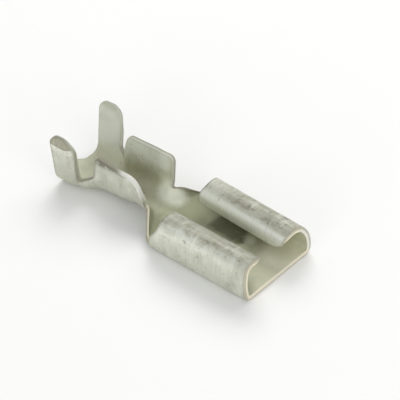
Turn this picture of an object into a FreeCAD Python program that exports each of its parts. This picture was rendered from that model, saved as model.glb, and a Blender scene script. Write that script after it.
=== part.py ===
import FreeCAD, Part
import math
import os

os.makedirs("parts", exist_ok=True)

V = FreeCAD.Vector

# Frame: the origin lies on the ground under the middle of the mouth.
# The wire end points along +Y, the width runs along X and +Z is up.

# Sheet
SHEET = 0.30
HALF = SHEET / 2.0
STRUCK_FLAT = 0.01

# Receptacle section, measured along the middle of the sheet from the centre of the floor.
# The first value of each pair is for the side towards -X, the second for the side towards +X.
FLOOR_HALF = (2.20, 2.45)
FLOOR_WIDENING = 0.12
CORNER_RADIUS = 0.28
CORNER_TURN = (73.5, 84.0)
WALL_LENGTH = (1.70, 1.84)
WALL_TURN = (30.5, 49.2)
ROLL_RADIUS = (0.54, 0.58)
ROLL_TURN = (90.0, 79.8)
BAND_LENGTH = 0.45
BAND_TURN = (12.0, 16.4)
CREASE_RADIUS = 0.30
CREASE_TURN = (50.5, 53.8)
HALF_WIDTH = 6.98
CREST = 4.95

# Receptacle ends. CREST is the distance across the sheet at which the top of a curl begins.
CURL_LENGTH = (6.12, 6.32)
CURL_CREST_SLANT = 0.16
CURL_EDGE_SLANT = 0.48
LEAD_IN = (1.10, 0.62)
LEAD_IN_POWER = (1.8, 1.2)
LEAD_IN_SET = 0.02
LEAD_IN_ROUND = (0.45, 0.90)
CURL_REAR_ROUND = 0.14

# Ledge beside the foot of each wall, where the sheet narrows in a step before the neck
LEDGE_LENGTH = 7.36
LEDGE_STEP = 0.32
LEDGE_HALF = 2.60
LEDGE_STEP_WIDTH = 0.10
WALL_FOOT_WIDTH = 0.32
WALL_FOOT_SLANT = 0.07

# Shares of the way from the ledge line up to the crest: first across the sheet, then along the part
WALL_REAR = ((0.254, 0.36), (0.452, 0.69), (0.693, 0.92))
CREST_LEVEL_START = 5.30
CREST_LEVEL_END = 6.00

# Shares of the way from the neck out to the ledge: first across the sheet, then along the part
NECK_FLARE = ((0.282, 0.272), (0.524, 0.535), (0.798, 0.816))

# Locking detent in the floor
DETENT_FROM_MOUTH = 3.40
DETENT_RADIUS = 1.10
DETENT_HEIGHT = 0.35

# Neck, which follows the ledge. The bends of the receptacle open out over its length.
NECK_START = LEDGE_LENGTH - 0.36
NECK_END = NECK_START + 1.60
NECK_HALF = 1.36
NECK_FLAT = 0.10
NECK_RISE = 0.42
NECK_EASE = 0.10
CURL_OPENS_AHEAD = 0.25
RISE_AHEAD = 0.70
RISE_PAST = 0.30

# Conductor barrel
CONDUCTOR_LENGTH = 3.55
CONDUCTOR_FLOOR_HALF = 0.08
CONDUCTOR_REAR_FLOOR_HALF = 0.36
CONDUCTOR_HALF = 1.03
CONDUCTOR_SPLAY = 5.2
CONDUCTOR_REAR_RISE = 0.18
THROAT_ROUNDING = 0.18
THROAT_LENGTH = 0.90

# Conductor wings as places behind the neck, heights up the wing and corner radii.
# The wing towards +X is nearly square. The wing towards -X starts lower and rises in a curve.
WING_BELOW_FAR = 2.30
WING_BELOW_NEAR = 1.70
FAR_WING_FRONT = (0.0, 3.28, 0.42)
FAR_WING_REAR = (3.26, 3.16, 0.35)
FAR_WING_FOOT = (3.85, 0.05)
NEAR_WING_FRONT = (0.42, 2.45, 0.30)
NEAR_WING_SHOULDER = (1.10, 2.88, 0.80)
NEAR_WING_REAR = (3.53, 2.95, 0.08)
NEAR_WING_FOOT = (3.75, 0.25)

# Slot between the barrels
SLOT_WIDTH = 0.95
SLOT_HEIGHT = 1.22
SLOT_ROUND = 0.12

# Insulation barrel
INSULATION_LENGTH = 1.75
INSULATION_FLOOR_HALF = 1.05
INSULATION_RADIUS = 0.76
INSULATION_ROUNDING = 0.42
INSULATION_SPLAY = 6.0
INSULATION_EASE = 0.80
INSULATION_HEIGHT = 3.97

# Tips of the insulation wings: a rounded front corner, a peak, and a rear corner that slopes down
TIP_FRONT_DROP = 0.38
TIP_FRONT_ROUND = 0.35
TIP_PEAK_FROM_FRONT = 0.52
TIP_PEAK_RISE = 0.06
TIP_PEAK_ROUND = 0.30
TIP_REAR_DROP = 0.16
TIP_ROUND = 0.72
TIP_TRIM_FOOT = 2.20
COIN_LENGTH = 0.45
COIN_DEPTH = 0.15
COIN_DROP = 0.40
COIN_FOOT = 2.30

# The rear rim stands back a little where the floor rounds into the wings
RIM_SET_BACK = 0.09
RIM_SET_HALF = 1.00
RIM_SET_BLEND = 1.40

# Stub left where the part was cut from its strip
STUB_HALF = 0.12
STUB_LENGTH = 0.32
STUB_BLEND = 0.38

CONDUCTOR_END = NECK_END + CONDUCTOR_LENGTH
SLOT_END = CONDUCTOR_END + SLOT_WIDTH
BARREL_END = SLOT_END + INSULATION_LENGTH
LENGTH = BARREL_END + STUB_LENGTH
STEP_EASE = 0.05
STEP_START = SLOT_END - 1.25 * SLOT_WIDTH
STEP_END = SLOT_END + STEP_EASE
STEP_SETTLES = 0.60

# Working clearances of the trimming tools, which reach past the sheet and its ends
CLEAR = 0.06
PAST = 0.40
HAIR = 0.01
SPARE_WIDTH = 0.25
SKY = INSULATION_HEIGHT + 2.6


def smooth(t):
    t = min(1.0, max(0.0, t))
    return t * t * (3.0 - 2.0 * t)


def chain(y, first, steps):
    # A size that goes from one value to the next over each stretch of the length
    value = first
    before = first
    for start, end, after in steps:
        value += (after - before) * smooth((y - start) / (end - start))
        before = after
    return value


def through(marks, u):
    # A curve without overshoot through points given in order of u
    slopes = [(b[1] - a[1]) / (b[0] - a[0]) for a, b in zip(marks, marks[1:])]
    tangents = [slopes[0]]
    for before, after in zip(slopes, slopes[1:]):
        tangents.append(2.0 * before * after / (before + after) if before * after > 0.0 else 0.0)
    tangents.append(slopes[-1])
    u = min(marks[-1][0], max(marks[0][0], u))
    number = 0
    while number < len(slopes) - 1 and u > marks[number + 1][0]:
        number += 1
    span = marks[number + 1][0] - marks[number][0]
    t = (u - marks[number][0]) / span
    low = marks[number][1] * (1.0 + 2.0 * t) * (1.0 - t) ** 2 + tangents[number] * span * t * (1.0 - t) ** 2
    high = marks[number + 1][1] * t * t * (3.0 - 2.0 * t) + tangents[number + 1] * span * t * t * (t - 1.0)
    return low + high


def bends(y, side):
    # Lengths and turns of the seven stretches of the section at y, side being 0 towards -X and 1 towards +X
    wide = FLOOR_HALF[side] + FLOOR_WIDENING * y / NECK_START
    floor = chain(y, wide, [(NECK_START, NECK_END + NECK_EASE, CONDUCTOR_FLOOR_HALF),
                            (NECK_END + NECK_EASE, CONDUCTOR_END, CONDUCTOR_REAR_FLOOR_HALF),
                            (STEP_START, STEP_END, INSULATION_FLOOR_HALF - INSULATION_ROUNDING),
                            (STEP_END, STEP_END + INSULATION_EASE, INSULATION_FLOOR_HALF)])
    front_radius = CONDUCTOR_HALF - CONDUCTOR_FLOOR_HALF
    rear_radius = CONDUCTOR_HALF - CONDUCTOR_REAR_FLOOR_HALF
    throat = NECK_END + THROAT_LENGTH
    radius = chain(y, CORNER_RADIUS, [(NECK_START, NECK_END + NECK_EASE, front_radius + THROAT_ROUNDING),
                                      (NECK_END + NECK_EASE, throat, front_radius),
                                      (throat, CONDUCTOR_END, rear_radius),
                                      (STEP_START, STEP_END, INSULATION_RADIUS + INSULATION_ROUNDING),
                                      (STEP_END, STEP_END + INSULATION_EASE, INSULATION_RADIUS)])
    corner = chain(y, CORNER_TURN[side], [(NECK_START - NECK_EASE, NECK_END, 90.0 - CONDUCTOR_SPLAY),
                                          (STEP_START, STEP_END, 90.0 - INSULATION_SPLAY)])
    opening = [(NECK_START - CURL_OPENS_AHEAD, NECK_END - NECK_EASE, 0.0)]
    wall = chain(y, WALL_TURN[side], [(NECK_START - NECK_EASE, NECK_END, 0.0)])
    roll = chain(y, ROLL_TURN[side], opening)
    band = chain(y, BAND_TURN[side], opening)
    crease = chain(y, CREASE_TURN[side], opening)
    lengths = [floor, radius * math.radians(corner), WALL_LENGTH[side],
               ROLL_RADIUS[side] * math.radians(ROLL_TURN[side]), BAND_LENGTH,
               CREASE_RADIUS * math.radians(CREASE_TURN[side])]
    at_mouth = FLOOR_HALF[side] + CORNER_RADIUS * math.radians(CORNER_TURN[side])
    flank = HALF_WIDTH - at_mouth - sum(lengths[2:])
    lengths.append(flank)
    turns = (0.0, corner, wall, roll, band, crease, 0.0)
    return [(length, math.radians(turn)) for length, turn in zip(lengths, turns)]


def rise(y):
    # Height of the underside of the floor
    return chain(y, 0.0, [(NECK_START - RISE_AHEAD, NECK_END + RISE_PAST, NECK_RISE),
                          (NECK_END + RISE_PAST, CONDUCTOR_END, CONDUCTOR_REAR_RISE),
                          (STEP_START, STEP_END + STEP_SETTLES, 0.0)])


def walk(section, distance):
    # Place and heading at a distance along the section
    x = 0.0
    z = 0.0
    heading = 0.0
    left = distance
    last = len(section) - 1
    for number, (length, turn) in enumerate(section):
        step = left if number == last else min(left, length)
        angle = turn * step / length
        if abs(angle) < 1e-9:
            x += step * math.cos(heading)
            z += step * math.sin(heading)
        else:
            radius = step / angle
            x += radius * (math.sin(heading + angle) - math.sin(heading))
            z += radius * (math.cos(heading) - math.cos(heading + angle))
        heading += angle
        left -= step
        if left <= 1e-12:
            break
    return x, z, heading


def point(y, distance, offset):
    # A point of the bent sheet at a signed distance from its middle line, outwards offsets being positive
    x, z, heading = walk(bends(y, 1 if distance > 0.0 else 0), abs(distance))
    x += offset * math.sin(heading)
    z -= offset * math.cos(heading)
    return V(math.copysign(x, distance), y, z + rise(y) + HALF - STRUCK_FLAT)


def knots(count):
    # Even knots for a cubic over a number of poles, clamped at both ends
    return [float(number) for number in range(count - 2)], [4] + [1] * (count - 4) + [4]


def skin(grid):
    # A smooth cubic surface drawn over a fine grid of points
    across, across_mults = knots(len(grid))
    along, along_mults = knots(len(grid[0]))
    surface = Part.BSplineSurface()
    surface.buildFromPolesMultsKnots(grid, across_mults, along_mults, across, along, False, False, 3, 3)
    return surface.toShape()


def slab(outer, inner):
    # A solid between two grids of points that face each other
    faces = [skin(outer), skin(inner)]
    faces += [Part.makeRuledSurface(high, low, 1) for high, low in zip(faces[0].Edges, faces[1].Edges)]
    shell = Part.makeShell(faces)
    shell.sewShape()
    solid = Part.makeSolid(shell)
    if solid.Volume < 0.0:
        solid.reverse()
    return solid


def spread(first, last, count):
    return [first + (last - first) * step / count for step in range(count + 1)]


# The whole sheet, bent but not yet trimmed. Rows stand close where the shape changes.
SHAPE_CHANGES = NECK_START - RISE_AHEAD - NECK_EASE
NECK_SETTLED = NECK_END + RISE_PAST + NECK_EASE
STEP_PASSED = STEP_END + 2.0 * STEP_EASE
ROWS = (spread(0.0, SHAPE_CHANGES, 6) + spread(SHAPE_CHANGES, NECK_SETTLED, 18)[1:]
        + spread(NECK_SETTLED, STEP_START, 6)[1:] + spread(STEP_START, STEP_PASSED, 9)[1:]
        + spread(STEP_PASSED, LENGTH, 6)[1:])
STEPS = (5, 6, 8, 9, 3, 5, 4)


def marks(y, side):
    # Distances along the section that fall on the ends of its stretches
    found = [0.0]
    for (length, turn), count in zip(bends(y, side), STEPS):
        found.extend(spread(found[-1], found[-1] + length, count)[1:])
    return found


def full_row(y, offset):
    near = [point(y, -mark, offset) for mark in reversed(marks(y, 0)[1:])]
    return near + [point(y, mark, offset) for mark in marks(y, 1)]


body = slab([full_row(y, HALF) for y in ROWS], [full_row(y, -HALF) for y in ROWS])

# Trimming follows the sheet, so every cut edge stands square to it
def corner_drop(distance, radius):
    # How far a rounded corner at the free edge stands back
    inside = distance - (HALF_WIDTH - radius)
    if inside <= 0.0:
        return 0.0
    return radius - math.sqrt(max(0.0, radius * radius - min(inside, radius) ** 2))


def trim(start, end, marks_across, rows):
    # A slab a little thicker than the sheet, between two edges given as functions of the distance
    grids = []
    for offset in (HALF + CLEAR, -HALF - CLEAR):
        lines = [[point(start(mark) + (end(mark) - start(mark)) * row / rows, mark, offset)
                  for mark in marks_across] for row in range(rows + 1)]
        grids.append(lines)
    return slab(grids[0], grids[1])


def curl_rear(distance):
    # From the neck around the foot of the wall and up over the curl to its free edge
    crest = CURL_LENGTH[1 if distance > 0.0 else 0]
    foot = LEDGE_LENGTH - LEDGE_STEP
    neck = NECK_END - NECK_FLAT
    line = [(NECK_HALF, neck)]
    flare = LEDGE_HALF - NECK_HALF
    line += [(NECK_HALF + a * flare, neck + b * (LEDGE_LENGTH - neck)) for a, b in NECK_FLARE]
    wall_foot = LEDGE_HALF + LEDGE_STEP_WIDTH
    line += [(LEDGE_HALF, LEDGE_LENGTH), (wall_foot, foot)]
    rounding = wall_foot + WALL_FOOT_WIDTH
    line.append((rounding, foot - WALL_FOOT_SLANT))
    climb = CREST_LEVEL_START - rounding
    line += [(rounding + a * climb, foot + b * (crest - foot)) for a, b in WALL_REAR]
    line += [(CREST_LEVEL_START, crest), (CREST_LEVEL_END, crest + CURL_CREST_SLANT),
             (HALF_WIDTH, crest + CURL_EDGE_SLANT)]
    return through(line, abs(distance)) - corner_drop(abs(distance), CURL_REAR_ROUND)


def curl_front(distance):
    # The tab is led in by a free edge that slants back from the mouth
    side = 1 if distance > 0.0 else 0
    slant = max(0.0, abs(distance) - CREST) / (HALF_WIDTH - CREST)
    back = LEAD_IN[side] * slant ** LEAD_IN_POWER[side]
    return back - LEAD_IN_SET + corner_drop(abs(distance), LEAD_IN_ROUND[side])


def rim(distance):
    stub = (STUB_LENGTH + HAIR) * (1.0 - smooth((abs(distance) - STUB_HALF) / STUB_BLEND))
    return BARREL_END - RIM_SET_BACK * (1.0 - smooth((abs(distance) - RIM_SET_HALF) / RIM_SET_BLEND)) + stub


outer_marks = spread(NECK_HALF, HALF_WIDTH + SPARE_WIDTH, 64)
front_marks = spread(CREST - 0.15, HALF_WIDTH + SPARE_WIDTH, 40)
rim_marks = spread(0.0, HALF_WIDTH + SPARE_WIDTH, 60)
for side in (-1.0, 1.0):
    body = body.cut(trim(curl_rear, lambda distance: NECK_END, [side * mark for mark in outer_marks], 26))
    body = body.cut(trim(lambda distance: -PAST, curl_front, [side * mark for mark in front_marks], 5))
whole = [-mark for mark in reversed(rim_marks[1:])] + rim_marks
body = body.cut(trim(rim, lambda distance: LENGTH + PAST, whole, 4))


def rounded(corners):
    # A closed outline from corners with radii, a radius of zero leaving the corner sharp
    edges = []
    count = len(corners)
    ends = []
    for number, (a, b, radius) in enumerate(corners):
        here = V(a, b, 0)
        before = V(corners[number - 1][0], corners[number - 1][1], 0)
        after = V(corners[(number + 1) % count][0], corners[(number + 1) % count][1], 0)
        inward = (before - here).normalize()
        outward = (after - here).normalize()
        if radius <= 0.0:
            ends.append((here, here, None))
            continue
        half = math.acos(max(-1.0, min(1.0, inward.dot(outward)))) / 2.0
        back = radius / math.tan(half)
        middle = here + (inward + outward).normalize() * (radius / math.sin(half) - radius)
        ends.append((here + inward * back, here + outward * back, middle))
    for number in range(count):
        start, end, middle = ends[number]
        if middle is not None:
            edges.append(Part.Arc(start, middle, end).toShape())
        following = ends[(number + 1) % count][0]
        if (following - end).Length > 1e-6:
            edges.append(Part.makeLine(end, following))
    return Part.Face(Part.Wire(edges))


WING_SPLAY = math.radians(0.5 * (CONDUCTOR_SPLAY + INSULATION_SPLAY))
WING_TOOL_START = 0.20
WING_REACH = FLOOR_HALF[1] + 0.95


def wing_tool(corners, side):
    # A cutter square to the wings of one side, drawn as lengths along Y and heights up the wing
    face = rounded(corners)
    tool = face.extrude(V(0, 0, WING_REACH))
    along = V(0, 1, 0)
    up = V(side * math.sin(WING_SPLAY), 0, math.cos(WING_SPLAY))
    out = V(side * math.cos(WING_SPLAY), 0, -math.sin(WING_SPLAY))
    start = V(side * WING_TOOL_START, 0, 0)
    tool = tool.transformGeometry(FreeCAD.Matrix(along.x, up.x, out.x, start.x,
                                                 along.y, up.y, out.y, start.y,
                                                 along.z, up.z, out.z, start.z,
                                                 0, 0, 0, 1))
    return tool


def behind_neck(corner):
    along, up, radius = corner
    return (NECK_END - HAIR + along, up, radius)


def wing_front(below):
    # The cutter comes down from above in front of the wing and stops at the neck
    return [(NECK_END - PAST, SKY, 0.0), (NECK_END - PAST, below, 0.0), (NECK_END - HAIR, below, 0.0)]


tip = [(SLOT_END, SLOT_HEIGHT, SLOT_ROUND),
       (SLOT_END, INSULATION_HEIGHT - TIP_FRONT_DROP, TIP_FRONT_ROUND),
       (SLOT_END + TIP_PEAK_FROM_FRONT, INSULATION_HEIGHT + TIP_PEAK_RISE, TIP_PEAK_ROUND),
       (BARREL_END + HAIR, INSULATION_HEIGHT - TIP_REAR_DROP, TIP_ROUND),
       (BARREL_END + HAIR, TIP_TRIM_FOOT, 0.0),
       (LENGTH + PAST, TIP_TRIM_FOOT, 0.0),
       (LENGTH + PAST, SKY, 0.0)]
far_foot = (NECK_END + FAR_WING_FOOT[0], SLOT_HEIGHT + FAR_WING_FOOT[1], SLOT_ROUND)
near_foot = (NECK_END + NEAR_WING_FOOT[0], SLOT_HEIGHT + NEAR_WING_FOOT[1], SLOT_ROUND)
far_wing = wing_front(WING_BELOW_FAR) + [behind_neck(FAR_WING_FRONT), behind_neck(FAR_WING_REAR), far_foot]
near_wing = wing_front(WING_BELOW_NEAR) + [behind_neck(NEAR_WING_FRONT), behind_neck(NEAR_WING_SHOULDER),
                                           behind_neck(NEAR_WING_REAR), near_foot]
body = body.cut(wing_tool(far_wing + tip, 1.0))
body = body.cut(wing_tool(near_wing + tip, -1.0))

# Coined bevels on the outer faces of the insulation wings, along the front edge and the tip
splay = math.radians(INSULATION_SPLAY)
turn_end = math.pi / 2.0 - splay
outer_x = INSULATION_FLOOR_HALF + INSULATION_RADIUS * math.sin(turn_end)
outer_z = INSULATION_RADIUS * (1.0 - math.cos(turn_end)) + HALF
outside = outer_x * math.cos(splay) - outer_z * math.sin(splay) + HALF


BEVEL_REACH = 1.60


def bevel(side, places):
    # Cuts away what lies outside a plane through three places.
    # Each place is a length along the part, a height up the wing and a depth below its outer face.
    spots = []
    for along, up, depth in places:
        out = outside - depth
        spots.append(V(side * (out * math.cos(splay) + up * math.sin(splay)), along,
                       up * math.cos(splay) - out * math.sin(splay)))
    normal = (spots[1] - spots[0]).cross(spots[2] - spots[0]).normalize()
    if normal.x * side < 0.0:
        normal = normal * -1.0
    across = (spots[1] - spots[0]).normalize()
    other = normal.cross(across)
    middle = (spots[0] + spots[1] + spots[2]) * (1.0 / 3.0)
    signs = ((-1, -1), (1, -1), (1, 1), (-1, 1), (-1, -1))
    square = [middle + across * (BEVEL_REACH * a) + other * (BEVEL_REACH * b) for a, b in signs]
    return Part.Face(Part.makePolygon(square)).extrude(normal * (BEVEL_REACH / 2.0))


for side in (-1.0, 1.0):
    shoulder = INSULATION_HEIGHT - COIN_DROP
    below_tip = INSULATION_HEIGHT - COIN_LENGTH
    front = [(SLOT_END, COIN_FOOT, 0.0), (SLOT_END, shoulder, COIN_DEPTH),
             (SLOT_END + COIN_LENGTH, shoulder, 0.0)]
    top = [(SLOT_END, below_tip, 0.0), (BARREL_END, below_tip, 0.0), (SLOT_END, INSULATION_HEIGHT, COIN_DEPTH)]
    body = body.cut(bevel(side, front))
    body = body.cut(bevel(side, top))

# Detent: a half dome pressed up out of the floor, open along its rear edge
dome_radius = (DETENT_RADIUS ** 2 + DETENT_HEIGHT ** 2) / (2.0 * DETENT_HEIGHT)
dome_centre = V(0, DETENT_FROM_MOUTH, SHEET - STRUCK_FLAT + DETENT_HEIGHT - dome_radius)
inside_sheet = 0.4 * SHEET
front_half = 2.0 * dome_radius
ahead = Part.makeBox(2.0 * front_half, front_half, front_half,
                     V(-front_half, DETENT_FROM_MOUTH - front_half, inside_sheet))
below = Part.makeBox(2.0 * front_half, front_half, 2.0 * front_half,
                     V(-front_half, DETENT_FROM_MOUTH - front_half, -front_half))
cap = Part.makeSphere(dome_radius, dome_centre, V(0, 1, 0)).common(ahead)
hollow = Part.makeSphere(dome_radius - SHEET, dome_centre, V(0, 1, 0)).common(below)
body = body.fuse(cap)
body = body.cut(hollow)

# The underside is struck flat, so the part rests on a true plane
body = body.cut(Part.makeBox(2.0 * HALF_WIDTH, LENGTH + 2.0, 1.0, V(-HALF_WIDTH, -1.0, -1.0)))

# The wing tops that were cut off fall away as scrap
terminal = max(body.Solids, key=lambda solid: solid.Volume)
terminal.exportStep("parts/terminal.step")
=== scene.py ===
# %% [markdown]
# # A female spade terminal
# The terminal is one strip of tinned brass, 0.3 mm thick. A press cuts a flat
# blank out of it, and further strokes bend that blank: both sides of the front
# are rolled inwards to grip a flat tab, the middle is drawn in to a narrow neck,
# and the rear stands up as two pairs of wings for the wire and its insulation.
# The lesson follows the press. It cuts the blank, bends it, and then gives it
# its worn tin finish.

# %% Load the frame
import math

import bpy
import numpy as np
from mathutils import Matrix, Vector
from mathutils.geometry import delaunay_2d_cdt


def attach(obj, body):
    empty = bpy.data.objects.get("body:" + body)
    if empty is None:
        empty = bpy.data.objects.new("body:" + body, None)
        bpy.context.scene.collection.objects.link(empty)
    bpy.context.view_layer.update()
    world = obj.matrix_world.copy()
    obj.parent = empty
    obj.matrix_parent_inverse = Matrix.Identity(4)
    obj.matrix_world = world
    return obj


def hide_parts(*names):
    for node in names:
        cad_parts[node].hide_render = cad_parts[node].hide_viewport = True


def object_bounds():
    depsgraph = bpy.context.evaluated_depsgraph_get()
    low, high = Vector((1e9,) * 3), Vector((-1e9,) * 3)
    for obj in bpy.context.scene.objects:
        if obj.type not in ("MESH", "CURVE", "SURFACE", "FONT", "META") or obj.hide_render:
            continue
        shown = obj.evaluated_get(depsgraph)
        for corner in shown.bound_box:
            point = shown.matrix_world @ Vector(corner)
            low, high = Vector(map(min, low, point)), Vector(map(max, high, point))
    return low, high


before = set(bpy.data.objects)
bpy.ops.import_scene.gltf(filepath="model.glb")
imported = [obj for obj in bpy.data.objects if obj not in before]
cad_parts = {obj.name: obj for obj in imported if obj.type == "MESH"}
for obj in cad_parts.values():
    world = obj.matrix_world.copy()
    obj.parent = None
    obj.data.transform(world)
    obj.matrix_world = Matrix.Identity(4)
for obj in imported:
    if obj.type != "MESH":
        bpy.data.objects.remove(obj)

cad_low, cad_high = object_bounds()
MM = 0.001


def box_in_mm(low, high):
    return [round((b - a) / MM, 2) for a, b in zip(low, high)]


print("box of the solid in mm", box_in_mm(cad_low, cad_high))

# %% [markdown]
# ## The section of the bent sheet
# At each place along its length the sheet has a section that can be walked from
# the centre of the floor outwards: straight along the floor, round the corner,
# up the wall, over the roll, and down the inner flank. Each stretch has a length
# and a turn, so a few radii and angles describe the whole shape, as on a
# pressing drawing. Sizes are in millimetres, as on that drawing, and MM turns
# them into Blender's metres at the end.

# %% Sizes of the sheet and the receptacle
SHEET = 0.30
HALF = SHEET / 2
STRUCK_FLAT = 0.01

FLOOR_HALF = (2.20, 2.45)
FLOOR_WIDENING = 0.12
CORNER_RADIUS = 0.28
CORNER_TURN = (73.5, 84.0)
WALL_LENGTH = (1.70, 1.84)
WALL_TURN = (30.5, 49.2)
ROLL_RADIUS = (0.54, 0.58)
ROLL_TURN = (90.0, 79.8)
BAND_LENGTH = 0.45
BAND_TURN = (12.0, 16.4)
CREASE_RADIUS = 0.30
CREASE_TURN = (50.5, 53.8)
HALF_WIDTH = 6.98

CREST = 4.95
CURL_LENGTH = (6.12, 6.32)
CURL_EDGE_SLANT = 0.48
LEDGE_LENGTH = 7.36
LEDGE_STEP = 0.32
LEAD_IN = (1.10, 0.62)
LEAD_IN_POWER = (1.8, 1.2)
LEAD_IN_ROUND = (0.45, 0.90)
LEAD_IN_SET = 0.02
CURL_REAR_ROUND = 0.14

DETENT_FROM_MOUTH = 3.40
DETENT_RADIUS = 1.10
DETENT_HEIGHT = 0.35
print("the blank is", 2 * HALF_WIDTH, "mm wide at the curls and", SHEET, "mm thick")

# %% Sizes of the neck and the conductor barrel
NECK_START = 7.00
NECK_END = 8.60
NECK_HALF = 1.36
NECK_FLAT = 0.10
NECK_RISE = 0.42
NECK_LEAD = 0.10
NECK_SETTLE = 0.10
NECK_EXTRA_RADIUS = 0.18
OPENING_LEAD = 0.25
RISE_LEAD = 0.70
RISE_SETTLE = 0.30

CONDUCTOR_END = NECK_END + 3.55
CONDUCTOR_FLOOR_HALF = 0.08
CONDUCTOR_REAR_FLOOR_HALF = 0.36
CONDUCTOR_HALF = 1.03
CONDUCTOR_SPLAY = 5.2
CONDUCTOR_REAR_RISE = 0.18
CONDUCTOR_SETTLE = 0.90
print("the conductor barrel runs from", NECK_END, "to", round(CONDUCTOR_END, 2), "mm")

# %% Sizes of the slot, the insulation barrel and the stub
SLOT_END = CONDUCTOR_END + 0.95
SLOT_HEIGHT = 1.22
SLOT_ROUND = 0.12

BARREL_END = SLOT_END + 1.75
INSULATION_FLOOR_HALF = 1.05
INSULATION_RADIUS = 0.76
INSULATION_ROUNDING = 0.42
INSULATION_SPLAY = 6.0
INSULATION_HEIGHT = 3.97
TIP_ROUND = 0.72
NEAR_TIP_ROUND = 0.70
COIN_LENGTH = 0.45
COIN_DEPTH = 0.15
COIN_FOOT = 2.30

STUB_HALF = 0.12
STUB_LENGTH = 0.32
STUB_BLEND = 0.38
RIM_SETBACK = 0.09
RIM_FLAT = 1.0
RIM_BLEND = 1.4
STEP_START = SLOT_END - 1.19
STEP_END = SLOT_END + 0.05
STEP_SETTLE = 0.80
STEP_RISE_SETTLE = 0.60
print("length of the part in mm", round(BARREL_END - RIM_SETBACK + STUB_LENGTH, 2))


# %% Ease a size along the part
def smooth(t):
    t = min(1.0, max(0.0, t))
    return t * t * (3.0 - 2.0 * t)


def chain(y, first, steps):
    """A size that eases from one value to the next along the part."""
    value = before = first
    for start, end, after in steps:
        value += (after - before) * smooth((y - start) / (end - start))
        before = after
    return value


print("half way through a step the share is", smooth(0.5))

# %% Stretches of the section, and the height of the floor
BEYOND = 9.0


def bends(y, side):
    """(length, turn) of each stretch of the section at y. side is 0 towards -X and 1 towards +X."""
    settled = NECK_END + NECK_SETTLE
    wide = FLOOR_HALF[side] + FLOOR_WIDENING * y / NECK_START
    floor = chain(y, wide, [(NECK_START, settled, CONDUCTOR_FLOOR_HALF),
                            (settled, CONDUCTOR_END, CONDUCTOR_REAR_FLOOR_HALF),
                            (STEP_START, STEP_END, INSULATION_FLOOR_HALF - INSULATION_ROUNDING),
                            (STEP_END, STEP_END + STEP_SETTLE, INSULATION_FLOOR_HALF)])
    front = CONDUCTOR_HALF - CONDUCTOR_FLOOR_HALF
    rear = CONDUCTOR_HALF - CONDUCTOR_REAR_FLOOR_HALF
    radius = chain(y, CORNER_RADIUS, [(NECK_START, settled, front + NECK_EXTRA_RADIUS),
                                      (settled, NECK_END + CONDUCTOR_SETTLE, front),
                                      (NECK_END + CONDUCTOR_SETTLE, CONDUCTOR_END, rear),
                                      (STEP_START, STEP_END, INSULATION_RADIUS + INSULATION_ROUNDING),
                                      (STEP_END, STEP_END + STEP_SETTLE, INSULATION_RADIUS)])
    start = NECK_START - NECK_LEAD
    corner = chain(y, CORNER_TURN[side], [(start, NECK_END, 90.0 - CONDUCTOR_SPLAY),
                                          (STEP_START, STEP_END, 90.0 - INSULATION_SPLAY)])
    opening = [(NECK_START - OPENING_LEAD, NECK_END - NECK_SETTLE, 0.0)]
    wall = chain(y, WALL_TURN[side], [(start, NECK_END, 0.0)])
    curl = [chain(y, turn[side], opening) for turn in (ROLL_TURN, BAND_TURN, CREASE_TURN)]
    turns = [0.0, corner, wall] + curl + [0.0]
    lengths = [floor, radius * math.radians(corner), WALL_LENGTH[side],
               ROLL_RADIUS[side] * math.radians(ROLL_TURN[side]), BAND_LENGTH,
               CREASE_RADIUS * math.radians(CREASE_TURN[side]), BEYOND]
    return [(length, math.radians(turn)) for length, turn in zip(lengths, turns)]


def rise(y):
    """Height of the underside of the floor."""
    settled = NECK_END + RISE_SETTLE
    return chain(y, 0.0, [(NECK_START - RISE_LEAD, settled, NECK_RISE),
                          (settled, CONDUCTOR_END, CONDUCTOR_REAR_RISE),
                          (STEP_START, STEP_END + STEP_RISE_SETTLE, 0.0)])


print("the neck's floor is raised by", round(rise(NECK_END + RISE_SETTLE), 2), "mm")

# %% Walk along the section
STRAIGHT = 1e-9
NOTHING = 1e-12


def walk(y, distance):
    """Place (x, z) and heading on the middle of the sheet, at a signed distance from its centre line."""
    x, z, heading, left = 0.0, 0.0, 0.0, abs(distance)
    for length, turn in bends(y, 1 if distance > 0.0 else 0):
        step = min(left, length)
        angle = turn * step / length
        if abs(angle) < STRAIGHT:
            x += step * math.cos(heading)
            z += step * math.sin(heading)
        else:
            x += step / angle * (math.sin(heading + angle) - math.sin(heading))
            z += step / angle * (math.cos(heading) - math.cos(heading + angle))
        heading += angle
        left -= step
        if left <= NOTHING:
            break
    return x, z + rise(y) + HALF - STRUCK_FLAT, heading


LOOK_AT = 2.5
for y in (0.0, NECK_END, CONDUCTOR_END, BARREL_END):
    x, z, heading = walk(y, LOOK_AT)
    print(f"y {y:5.2f}: {LOOK_AT} mm along the sheet lies at x {x:.2f}, z {z:.2f},",
          f"heading {math.degrees(heading):.0f} degrees")

# %% [markdown]
# ## The blank
# Before bending, the part is a flat outline. Here it is drawn as the press sees
# it: one axis is the distance across the sheet from its centre line, the other
# is the length. The curls end in slanting edges, the neck is waisted, and a slot
# parts the two pairs of wings. The two conductor wings are not alike on the real
# part, so each side has its own outline. Drawing the outline flat keeps every
# cut edge square to the sheet after it is bent, as a real punched edge is.

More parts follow.
